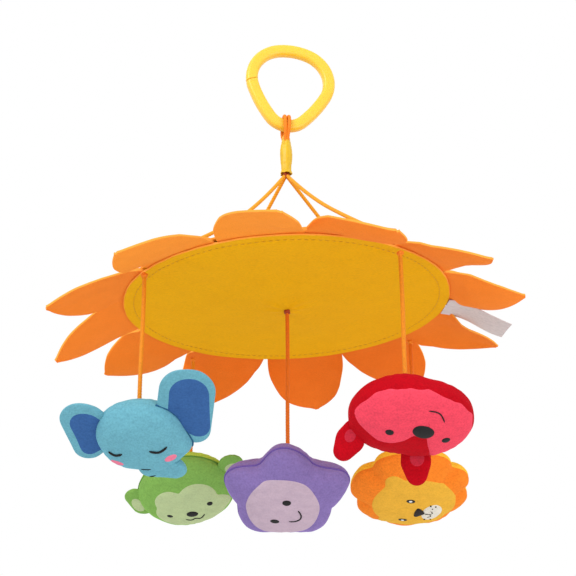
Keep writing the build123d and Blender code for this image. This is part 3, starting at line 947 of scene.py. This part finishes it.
def pillow(plane, centre, radii, height, fullness=2.4, rows=26, seed=0.0, pucker=0.5, lobes=None):
    """Rings over one side of a stuffed shape, from the crown to the seam."""
    rings = []
    for i in range(rows):
        t = (i + 0.35) / (rows - 0.65) if i else 0.012
        rho = sin(pi / 2 * min(t, 1.0))
        dome = max(0.0, 1 - rho**fullness) ** 0.52
        ring = []
        for j, (angle, r) in enumerate(zip(ANGLES, radii)):
            near_seam = smooth_step((rho - 0.72) / 0.28)
            fold = sin(angle * 23 + 3 * sin(angle * 5 + seed)) * pucker * near_seam * (1 - rho**8)
            dent = noise.noise(Vector((rho * 2.2 * cos(angle), rho * 2.2 * sin(angle), seed))) * 1.1
            h = height * dome
            if lobes is not None:
                h *= 1 - lobes[j] * smooth_step((rho - 0.72) / 0.22)
            h += np.sign(height) * (fold + dent * dome)
            tuck = 0.5 * smooth_step((rho - 0.985) / 0.015)
            x = centre[0] + (rho * r - tuck) * cos(angle)
            y = centre[1] + (rho * r - tuck) * sin(angle)
            ring.append(at(plane, x, y, h))
        rings.append(ring)
    return rings


def half_pillow(name, toy, centre, radii, height, material, slot, nodes, **shape):
    """One panel of a stuffed head with the stuffing behind it, closed along the seam."""
    plane = planes[toy]
    rings = pillow(plane, centre, radii, height, **shape)
    back = [
        [
            at(plane, centre[0] + s * r * cos(a), centre[1] + s * r * sin(a), 0.0) for a,
            r in zip(ANGLES, radii)
        ]
        for s in (0.93, 0.6, 0.02)
    ]
    obj = skin(name, rings + back, material, sharp=75)
    place(obj, toy, slot, nodes)
    return obj


def stuffed(toy, centre, radii, materials, slots, back_height=PILLOW, **shape):
    """Front and back panels of a head."""
    front = half_pillow(
        f"{toy}_front_panel", toy, centre, radii, PILLOW, materials[0], slots[0],
        [f"{toy}_front", f"{toy}_stuffing"], **shape,
    )
    back = half_pillow(
        f"{toy}_back_panel", toy, centre, radii, -back_height, materials[1], slots[1],
        [f"{toy}_back"], **shape,
    )
    trees[toy] = surface_of(front, back)


def surface_of(*objects):
    """A tree of several meshes, to lay face pieces on."""
    verts, faces, start = [], [], 0
    for obj in objects:
        verts += [obj.matrix_world @ v.co for v in obj.data.vertices]
        faces += [tuple(i + start for i in p.vertices) for p in obj.data.polygons]
        start = len(verts)
    return BVHTree.FromPolygons(verts, faces)


def drape(tree, plane, x, y, lift, last=None):
    """The point of the surface under (x, y) of a toy's plane, raised by lift."""
    start = Vector(at(plane, x, y, 60.0) * MM)
    hit, normal, _, _ = tree.ray_cast(start, Vector(-plane[3]))
    if hit is None:
        return last
    outward = np.array(normal)
    if outward @ plane[3] < 0:
        outward = -outward
    return np.array(hit) / MM + outward * lift


def applique(
    toy, part, centre, radii, material, lift=0.5, dome=0.2, slot=None, nodes=(), tree=None,
    plane=None
):
    """A thin piece sewn or printed on a surface, following it, with a rounded rim."""
    tree, plane = tree or trees[toy], plane or planes[toy]
    layers = [
        (share, lift * (1 - share**14) + dome * (1 - share**2))
        for share in (0.03, 0.2, 0.4, 0.58, 0.74, 0.86, 0.94, 0.985)
    ]
    middle = drape(tree, plane, *centre, lift + dome)
    rings = []
    for share, rise in layers + [(1.0, -0.25), (0.9, -0.8), (0.05, -0.8)]:
        ring = []
        for angle, r in zip(ANGLES, radii):
            x, y = centre[0] + share * r * cos(angle), centre[1] + share * r * sin(angle)
            ring.append(drape(tree, plane, x, y, rise, last=ring[-1] if ring else middle))
        rings.append(ring)
    return place(skin(f"{toy}_{part}", rings, material, sharp=60), toy, slot, nodes)


def ellipse(rx, ry, turn_deg=0.0):
    a = ANGLES - radians(turn_deg)
    return rx * ry / np.sqrt((ry * np.cos(a)) ** 2 + (rx * np.sin(a)) ** 2)


def stitch_line(toy, part, points, radius, material="black", lift=None, tree=None):
    """An embroidered line: a tube that follows the surface along a smooth line."""
    tree, lift = tree or trees[toy], radius * 0.45 if lift is None else lift
    flat = even(spline_points([(x, y, 0.0) for x, y in points]), 0.5)
    lifted = [drape(tree, planes[toy], x, y, lift) for x, y, _ in flat]
    line = np.array([p for p in lifted if p is not None])
    ends = np.minimum(np.arange(len(line)), np.arange(len(line))[::-1])
    radii = radius * np.clip(0.45 + ends / 5, 0, 1) * (1 + 0.10 * np.cos(np.arange(len(line)) * pi))
    return place(skin(f"{toy}_{part}", tube_rings(line, radii, 8), material, sharp=80), toy)


def seam(toy, centre, radii, material, radius=0.55, start=0.0, end=2 * pi, offset=0.35, height=0.0):
    """The sewn line round a head, drawn into the groove between its panels; its thread, darker than
    the plush, also paints the groove's shade.
    """
    count = int(AROUND * (end - start) / (2 * pi))
    line = []
    for k in range(count + 1):
        angle = start + (end - start) * k / count
        r = np.interp(angle % (2 * pi), ANGLES, radii, period=2 * pi) - offset
        line.append(at(planes[toy], centre[0] + r * cos(angle), centre[1] + r * sin(angle), height))
    rings = tube_rings(even(np.array(line), 0.9), radius, 6)
    return place(skin(f"{toy}_seam", rings, material, sharp=80), toy)


def ear(part, toy, plane, circles, centre, thickness, material, node, cup=0.0, seed=0.0):
    """A thin stuffed ear: two panels in one closed form, its rim rolled forward by cup."""
    radii = rounded(hull(circles, centre), 1.2)
    rings = []
    for side in (1, -1):
        half_rings = []
        for i in range(16):
            t = (i + 0.3) / 15.3 if i else 0.015
            rho = sin(pi / 2 * min(t, 1.0))
            ring = []
            for angle, r in zip(ANGLES, radii):
                fold = 0.25 * sin(angle * 19 + seed) * (1 - rho**8)
                fold *= smooth_step((rho - 0.75) / 0.25)
                h = side * (thickness / 2 * max(0.0, 1 - rho**3.2) ** 0.5 + fold)
                x, y = centre[0] + rho * r * cos(angle), centre[1] + rho * r * sin(angle)
                bowl = cup * rho**2.2
                wave = 1.2 * noise.noise(Vector((x / 16, y / 16, seed + 3)))
                ring.append(at(plane, x, y, h + bowl + wave))
            half_rings.append(ring)
        rings += half_rings if side == 1 else half_rings[:-1][::-1]
    obj = skin(f"{toy}_{part}", rings, material, sharp=75)
    place(obj, toy, f"{material}_plush", [node])
    return obj


# ---- star ----------------------------------------------------------------------------------
star_radii = rounded(polar([
    (13, 44.7), (22, 43.7), (27, 41.1), (33, 35.8), (43, 31.4), (55, 30.0), (66, 33.2), (77, 36.6),
    (85, 39.1),
    (92, 40.6), (102, 40.3), (108, 38.3), (117, 34.4), (125, 32.0), (134, 31.5), (142, 36.9),
    (149, 42.1),
    (158, 46.0), (165, 46.2), (182, 42.2), (202, 38.2), (218, 44.5), (231, 48.6), (243, 47.6),
    (254, 43.8),
    (267, 42.4), (280, 42.8), (291, 45.8), (304, 45.4), (317, 40.4), (329, 35.6), (354, 39.8),
]), 1.4)
stuffed(
    "star", (0, 0), star_radii, ("purple", "purple"), ("purple_plush", "purple_plush"),
    back_height=18.0, fullness=2.3, seed=1.0, pucker=0.55,
)
seam("star", (0, 0), star_radii, "seam_purple", radius=0.65)
applique(
    "star", "face", (-3.8, -8.0), ellipse(26.0, 30.0), "purple_face",
    lift=0.7, slot="star_face_plush", nodes=["star_face_patch"],
)
applique("star", "eye_upper", (-1.0, 2.0), ellipse(3.4, 3.0, -16), "black", lift=1.05)
applique("star", "eye_lower", (-9.4, -17.8), ellipse(3.6, 2.6, -16), "black", lift=1.05)
stitch_line(
    "star", "smile", [(0.4, -18.0), (6.0, -18.6), (10.3, -12.6), (6.8, -6.4)], 0.55, lift=0.85
)

# ---- elephant ------------------------------------------------------------------------------
elephant_centre = (4.0, -1.0)
elephant_radii = rounded(
    hull([(0, 4, 27), (-7, -1.5, 20), (6, 4, 25.5), (24, -13, 8), (6, -16, 14)], elephant_centre),
    1.3
)
stuffed(
    "elephant", elephant_centre, elephant_radii, ("blue", "blue"), ("blue_plush", "blue_plush"),
    fullness=2.5, seed=2.0,
)
plane = planes["elephant"]
behind = (at(plane, 0, 0, -2.0), *plane[1:])
ELEPHANT_EARS = {
    # circles of the outline and of its lining, and a centre for each
    "left": (
        [(-28, 27.5, 14.8), (-35.5, 3.5, 10), (-20, 12, 12)], (-29, 16),
        [(-27.5, 24.5, 10), (-34, 4, 6), (-20, 10, 8)], (-28, 14),
    ),
    "right": (
        [(45.5, 27.5, 18), (36, -7, 10.5), (30, 16, 10)], (40, 15),
        [(46, 25.5, 12.8), (40, -5, 7.5), (32, 8, 8)], (41, 14),
    ),
}
for side, (circles, centre, lining, lining_at) in ELEPHANT_EARS.items():
    piece = ear(
        f"{side}_ear", "elephant", behind, circles, centre, 6.0, "blue",
        f"elephant_ear_{side}", cup=2.0, seed=len(side),
    )
    applique(
        "elephant", f"{side}_ear_lining", lining_at, rounded(hull(lining, lining_at), 1.5),
        "blue_ear",
        lift=0.35, dome=0.0, tree=surface_of(piece),
    )
trunk = ear(
    "trunk_stuffed", "elephant", turned_plane(at(plane, 0, 0, 4), 61.0, 20.0),
    [(-1, -20.5, 8), (13.2, -29.3, 7.8)], (8, -25.5), 11.0, "blue", "elephant_trunk", cup=2.5,
    seed=7,
)
applique("elephant", "cheek_left", (-18.2, -7.0), ellipse(4.4, 2.9, -18), "cheek", lift=0.25)
applique("elephant", "cheek_right", (17.2, -13.6), ellipse(4.4, 2.9, 14), "cheek", lift=0.25)
stitch_line("elephant", "eye_left", [(-18.6, 4.9), (-16.2, 1.6), (-13.0, 1.5), (-10.2, 2.1)], 0.8)
stitch_line("elephant", "eye_right", [(8.0, -0.6), (11.6, -3.9), (15.6, -4.2), (19.3, -2.4)], 0.8)
stitch_line("elephant", "mouth_left", [(-5.4, -16.4), (-2.4, -18.2), (0.8, -18.8)], 0.4)
stitch_line(
    "elephant", "mouth_right", [(-3.6, -26.2), (-1.8, -27.2), (0.4, -26.8)], 0.4,
    tree=surface_of(trunk)
)
# Only over the right side, raised to where the head meets the right ear: the dark seam line there
# is also a painted contact shadow.
seam(
    "elephant", elephant_centre, elephant_radii, "seam_blue", radius=0.65,
    start=radians(-34), end=radians(54), offset=0.0, height=1.0,
)

# ---- monkey --------------------------------------------------------------------------------
monkey_radii = hull([(-6.5, -2.5, 33.6), (-3, 0, 34), (3, 0, 34.5)], (0, 0))
stuffed(
    "monkey", (0, 0), monkey_radii, ("green", "lime"), ("green_plush", "green_plush"),
    back_height=17.0, fullness=2.5, seed=3.0,
)
plane = planes["monkey"]
MONKEY_EARS = {
    "left": ([(-40.5, 8, 8.8), (-39.5, -3.5, 8.8)], (-39.5, 2), (-42.0, 0.8), ellipse(4.6, 7.4)),
    "right": ([(43.5, 12.5, 9.5), (37, 6, 9)], (41, 10), (43.0, 8.8), ellipse(6.2, 5.6)),
}
for side, (circles, centre, lining_at, lining) in MONKEY_EARS.items():
    piece = ear(
        f"{side}_ear", "monkey", plane, circles, centre, 6.0, "green",
        f"monkey_ear_{side}", cup=1.5, seed=len(side),
    )
    applique(
        "monkey", f"{side}_ear_lining", lining_at, lining, "green_face",
        lift=0.35, dome=0.0, tree=surface_of(piece),
    )
face_radii = rounded(
    np.maximum.reduce([
        hull([(-11.5, 1.6, 13.5), (2, -10.9, 16)], (2, -7)),
        hull([(9.5, -0.4, 15.3), (2, -10.9, 16)], (2, -7)),
        hull([(21, -13.9, 9.5), (2, -14, 19)], (2, -7)),
        hull([(-14.5, -11, 15.5), (2, -14, 19)], (2, -7)),
    ]), 1.0,
)
applique(
    "monkey", "face", (2, -7), face_radii, "green_face", lift=0.7,
    slot="monkey_face_plush", nodes=["monkey_face_patch"],
)
applique("monkey", "eye_right", (15.8, -8.7), ellipse(2.4, 2.5), "black", lift=1.05)
applique("monkey", "eye_left", (-18.5, -9.7), ellipse(2.5, 1.9, -30), "black", lift=1.05)
applique("monkey", "nose", (-1.3, -13.7), ellipse(5.0, 3.5, -8), "black", lift=1.2, dome=0.5)
stitch_line(
    "monkey", "mouth", [(-9.0, -18.0), (-5.6, -21.4), (-1.6, -19.0), (2.6, -22.6), (7.2, -17.6)],
    0.5, "black", lift=0.85,
)
seam("monkey", (0, 0), monkey_radii, "seam_green", radius=0.55)

# ---- dog -----------------------------------------------------------------------------------
dog_radii = hull([(-9, -3, 33), (6, 0, 34)], (0, 0))
stuffed(
    "dog", (0, 0), dog_radii, ("red", "red"), ("red_plush", "red_plush"),
    back_height=16.5, fullness=2.5, seed=4.0, pucker=0.6,
)
face_centre = np.array((-0.3, -20.9))
dog_face = radii_of(within([
    (38.0, -1.9), (37.8, 7.0), (32.6, 11.3), (23.8, 14.1), (14.4, 16.3), (6.0, 12.6), (0.5, 6.0),
    (-1.3, -0.2),
    (-7.8, -2.7), (-11.2, -3.6), (-19.2, 7.7), (-29.5, 25.0), (-35.0, 16.0), (-39.5, 8.0),
    (-42.0, 0.0),
    (-42.3, -6.0), (-38.5, -15.0), (-31.0, -26.5), (-18.0, -32.8), (-6.0, -33.4), (7.1, -33.1),
    (19.1, -29.4),
    (30.1, -21.8), (35.2, -14.5),
], dog_radii), face_centre)
applique(
    "dog", "face", face_centre, rounded(dog_face, 0.7), "pink", lift=0.5, slot="pink_plush"
)
applique("dog", "nose", (-5.0, -7.4), ellipse(7.6, 6.0, 0), "black", lift=1.3, dome=0.7)
applique("dog", "eye_left", (13.0, 3.7), ellipse(3.0, 2.7, 0), "black", lift=0.9)
applique("dog", "eye_right", (-23.2, -6.0), ellipse(3.0, 2.7, 0), "black", lift=0.9)
stitch_line(
    "dog", "mouth", [(1.2, -23.0), (-3.6, -24.8), (-8.6, -23.6), (-12.2, -20.2)], 0.45, lift=0.8
)
DOG_EARS = {
    # offset of the ear, swing, circles, centre, the print's centre and size
    "left": (
        (-36.0, 9.0, -8.0), -24.0, [(1, 2, 8), (0.5, -4, 9.5), (-0.5, -12, 6.8)], (0, -5),
        (-0.6, -1.5), (3.6, 4.4)
    ),
    "right": (
        (6.6, 29.0, -9.0), 0.0, [(0, 4, 9), (0, -12, 10), (0.5, -20.5, 7)], (0, -8), (0.6, -9.5),
        (4.8, 5.2)
    ),
}
for side, (offset, swing, circles, centre, print_at, print_size) in DOG_EARS.items():
    ear_plane = turned_plane(planes["dog"][0] + np.array(offset), 20.0, swing)
    piece = ear(
        f"{side}_ear", "dog", ear_plane, circles, centre, 6.0, "red", f"dog_ear_{side}",
        cup=1.0, seed=len(side) + 2,
    )
    applique(
        "dog", f"{side}_ear_lining", print_at, ellipse(*print_size), "red_print",
        lift=0.2, dome=0.0, tree=surface_of(piece), plane=ear_plane,
    )

# ---- lion ----------------------------------------------------------------------------------
MANE = [(2, 5.5), (42, 6), (90, 6), (138, 6), (196, 6), (243, 2), (285, 1.5), (322, 2)]
lion_radii, near_notch = scallops([(degrees - 79, depth) for degrees, depth in MANE], 46.0)
lion_radii = rounded(lion_radii, 0.8)
stuffed(
    "lion", (0, 0), lion_radii, ("orange", "gold"), ("orange_plush", "gold_plush"),
    back_height=17.0, fullness=2.5, seed=5.0, pucker=0.6, lobes=0.34 * near_notch,
)
face = np.full(AROUND, 32.0)
for ear_angle, size in ((0.72, 7.5), (2.68, 7.0)):
    bump_at = 32.0 * np.array((cos(ear_angle), sin(ear_angle)))
    face = np.maximum(face, hull([(*bump_at, size), (0, 0, 2)], (0, 0)))
applique(
    "lion", "face", (-3, -3), rounded(face, 0.9), "lion_face", lift=0.7,
    slot="lion_face_plush", nodes=["lion_face_patch"],
)
for eye, (x, y) in (("upper", (5.2, 1.8)), ("lower", (-22.4, 0.8))):
    applique("lion", f"eye_{eye}", (x, y), ellipse(2.6, 3.7), "black", lift=1.05)
    applique("lion", f"eye_{eye}_glint", (x + 0.3, y + 0.3), ellipse(1.1, 1.5), "white", lift=1.3)
applique("lion", "muzzle", (-8.6, -18.0), ellipse(12.0, 8.2), "muzzle", lift=1.0, dome=0.8)
nose_shape = radii_of(
    [(-6.0, 1.4), (-5.6, 3.0), (0, 3.8), (5.6, 3.0), (6.0, 1.4), (0.9, -4.6), (-0.9, -4.6)],
    np.zeros(2)
)
applique("lion", "nose", (-8.8, -8.2), rounded(nose_shape, 2.0), "brown", lift=1.8, dome=0.6)
stitch_line(
    "lion", "mouth",
    [(-14.2, -15.8), (-12.8, -19.0), (-10.2, -16.6), (-9.8, -16.6), (-7.6, -19.2), (-5.2, -16.2)],
    0.34, "brown", lift=1.75
)
stitch_line("lion", "lip", [(-9.2, -12.4), (-9.6, -14.6), (-10.0, -16.8)], 0.34, "brown", lift=1.75)
for number, (x, y) in enumerate(
    [(1.4, -14.6), (0.8, -18.6), (-2.0, -16.8), (-18.0, -14.8), (-17.6, -19.4)]
):
    applique("lion", f"whisker_{number}", (x, y), ellipse(0.6, 0.6), "brown", lift=1.75)

# ==== camera, light, world, floor =========================================================
def light(name, where, size, power, colour=(1, 1, 1), target=(0, 0, -0.25)):
    data = bpy.data.lights.new(name, "AREA")
    data.shape = "DISK"
    data.size = size
    data.energy = power
    data.color = colour
    lamp = bpy.data.objects.new(name, data)
    lamp.location = where
    lamp.rotation_euler = (Vector(target) - Vector(where)).to_track_quat("-Z", "Y").to_euler()
    bpy.context.scene.collection.objects.link(lamp)


light("key", (-0.9, -1.3, 0.7), 1.0, 14)
light("fill", (1.1, -1.2, -0.5), 1.2, 6)

world = bpy.data.worlds.new("studio")
world.use_nodes = True
background = world.node_tree.nodes["Background"].inputs
background["Color"].default_value = (1, 1, 1, 1)
background["Strength"].default_value = 1.0
bpy.context.scene.world = world
bpy.context.scene.view_settings.view_transform = "Standard"

floor_mesh = bpy.data.meshes.new("floor")
floor_mesh.from_pydata(
    [(-4, -4, FLOOR_Z), (4, -4, FLOOR_Z), (4, 4, FLOOR_Z), (-4, 4, FLOOR_Z)], [], [(0, 1, 2, 3)]
)
floor = bpy.data.objects.new("floor", floor_mesh)
bpy.context.scene.collection.objects.link(floor)
floor_mesh.materials.append(new_material("pale_floor", Roughness=0.8, Base_Color=(0.86,) * 3)[0])

camera_data = bpy.data.cameras.new("camera")
camera_data.lens = CAMERA_LENS
camera_data.sensor_width = 36.0
camera = bpy.data.objects.new("camera", camera_data)
look = Matrix.Rotation(
    radians(90 + CAMERA_PITCH), 4, "X"
) @ Matrix.Rotation(radians(CAMERA_ROLL), 4, "Z")
camera.matrix_world = Matrix.Translation(CAMERA_AT) @ look
bpy.context.scene.collection.objects.link(camera)
bpy.context.scene.camera = camera
